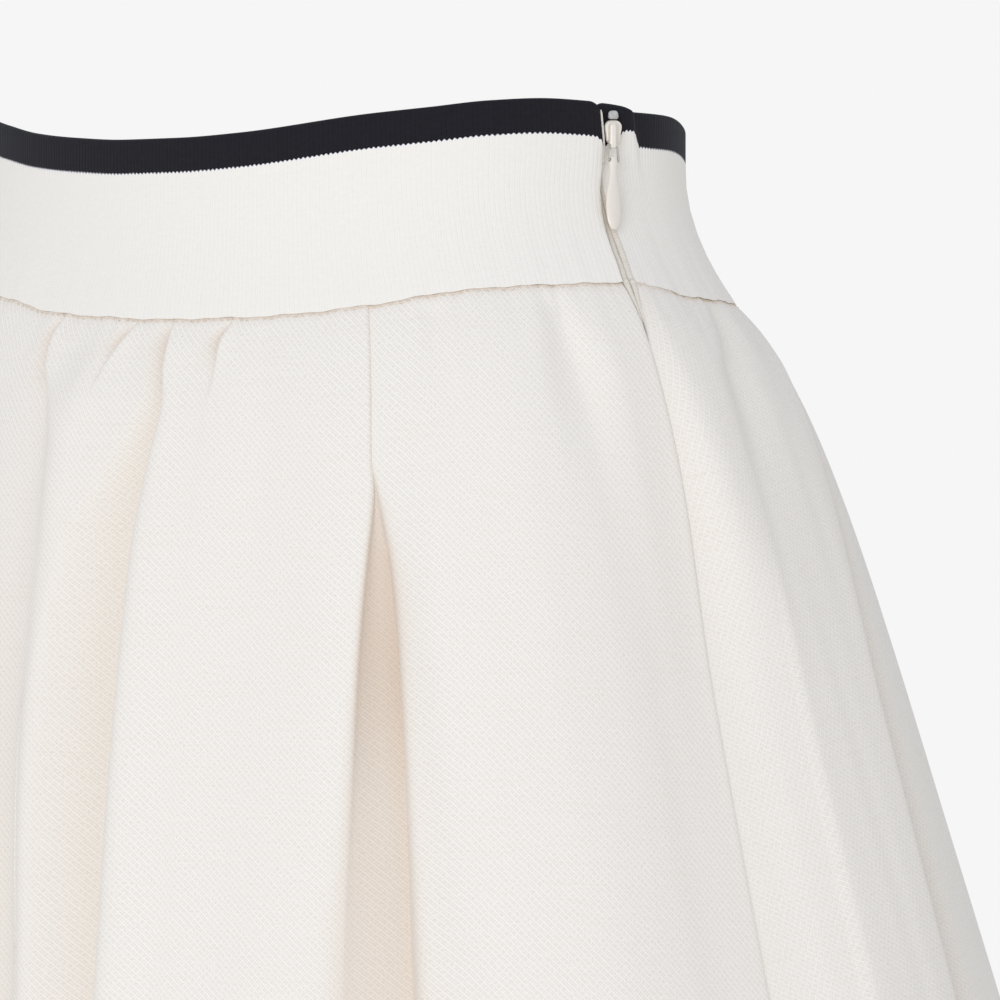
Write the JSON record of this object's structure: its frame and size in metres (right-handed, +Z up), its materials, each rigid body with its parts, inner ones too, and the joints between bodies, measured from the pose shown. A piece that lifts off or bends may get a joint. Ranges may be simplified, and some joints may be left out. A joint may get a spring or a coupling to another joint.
{
  "type": "flared skirt",
  "caption": "Flared mini skirt, gathered and pleated onto a rib waistband with a dark edge, worn shape, side zip with a teardrop pull.",
  "frame": {"origin": "middle of the waist opening, half way up the waistband, where the wearer's waist holds the skirt", "axes": "+Z up, -Y towards the wearer's front, +X towards the wearer's left, where the zip is"},
  "size_m": [0.5518, 0.4233, 0.448],
  "materials": {
    "ivory_cloth": "matt textured weave",
    "ivory_rib": "matt rib knit with a navy edge",
    "zip_tape": "matt woven tape",
    "cream_enamel": "glossy enamel",
    "link_wire": "polished wire",
    "clear_stop": "pale translucent plastic"
  },
  "bodies": {
    "skirt": {"skirt_front": "ivory_cloth", "skirt_back": "ivory_cloth", "waistband": "ivory_rib", "zip_tape": "zip_tape", "zip_slider": "cream_enamel", "zip_top_stop": "clear_stop"},
    "link": {"zip_link": "link_wire"},
    "pull": {"zip_pull": "cream_enamel"}
  },
  "joints": [
    {"name": "link_swing", "type": "hinge", "parent": "skirt", "child": "link", "pos_m": [0.12626, -0.0099, 0.0197], "axis": [-0.1445, -0.9706, 0.1925], "range_deg": [0, 95]},
    {"name": "pull_swing", "type": "hinge", "parent": "link", "child": "pull", "pos_m": [0.12723, -0.01093, 0.01522], "axis": [-0.1445, -0.9706, 0.1925], "range_deg": [0, 60]}
  ]
}
